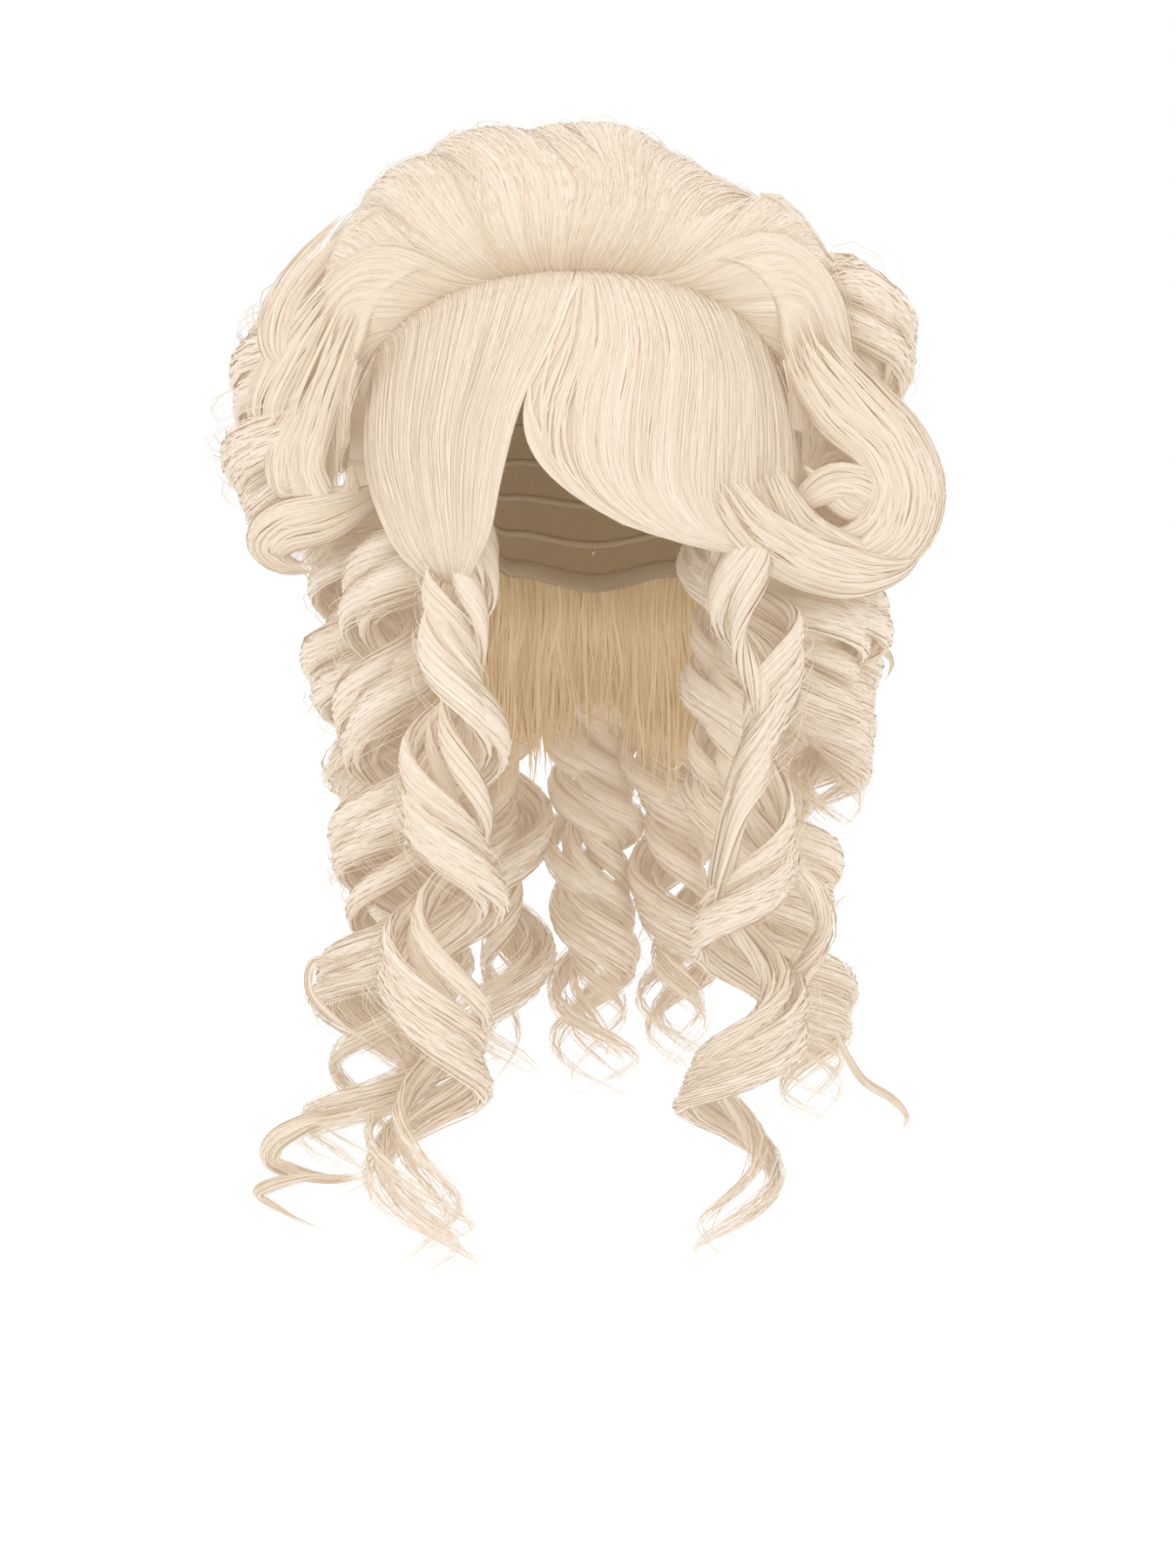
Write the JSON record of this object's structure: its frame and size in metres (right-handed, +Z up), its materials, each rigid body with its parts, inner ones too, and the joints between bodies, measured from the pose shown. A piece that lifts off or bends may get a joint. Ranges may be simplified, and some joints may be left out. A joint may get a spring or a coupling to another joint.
{
  "type": "powdered wig",
  "caption": "Tall pale blonde costume wig on a fitted cap: swept-back crown, parted fringe, temple sweeps and long hanging ringlets round the head.",
  "frame": {"origin": "the point inside the top of the cap where the crown of the wearer's head touches it", "axes": "+Z up along the wearer's head, the face and fringe towards -Y, +X to the right of a viewer who faces the fringe"},
  "size_m": [0.3451, 0.2865, 0.5613],
  "materials": {
    "hair": "satin",
    "inner_hair": "satin",
    "cap_net": "matte"
  },
  "bodies": {
    "root": {"cap": "cap_net", "crown_lock_1": "hair", "crown_lock_2": "hair", "crown_lock_3": "hair", "crown_lock_4": "hair", "crown_lock_5": "hair", "crown_lock_6": "hair", "crown_lock_7": "hair", "crown_lock_8": "hair", "crown_lock_9": "hair", "curl_left_high": "hair", "curl_right_barrel": "hair", "curl_right_high": "hair", "fringe_left": "hair", "fringe_right": "hair", "inner_fall": "inner_hair", "ringlet_back_left": "hair", "ringlet_back_middle": "hair", "ringlet_back_right": "hair", "ringlet_left_back": "hair", "ringlet_left_front": "hair", "ringlet_left_long": "hair", "ringlet_left_outer": "hair", "ringlet_right_back": "hair", "ringlet_right_front": "hair", "ringlet_right_inner": "hair", "ringlet_right_middle": "hair", "ringlet_right_outer": "hair", "strand_right": "hair", "sweep_left_front": "hair", "sweep_left_upper": "hair", "sweep_right_front": "hair", "sweep_right_upper": "hair"}
  },
  "joints": []
}
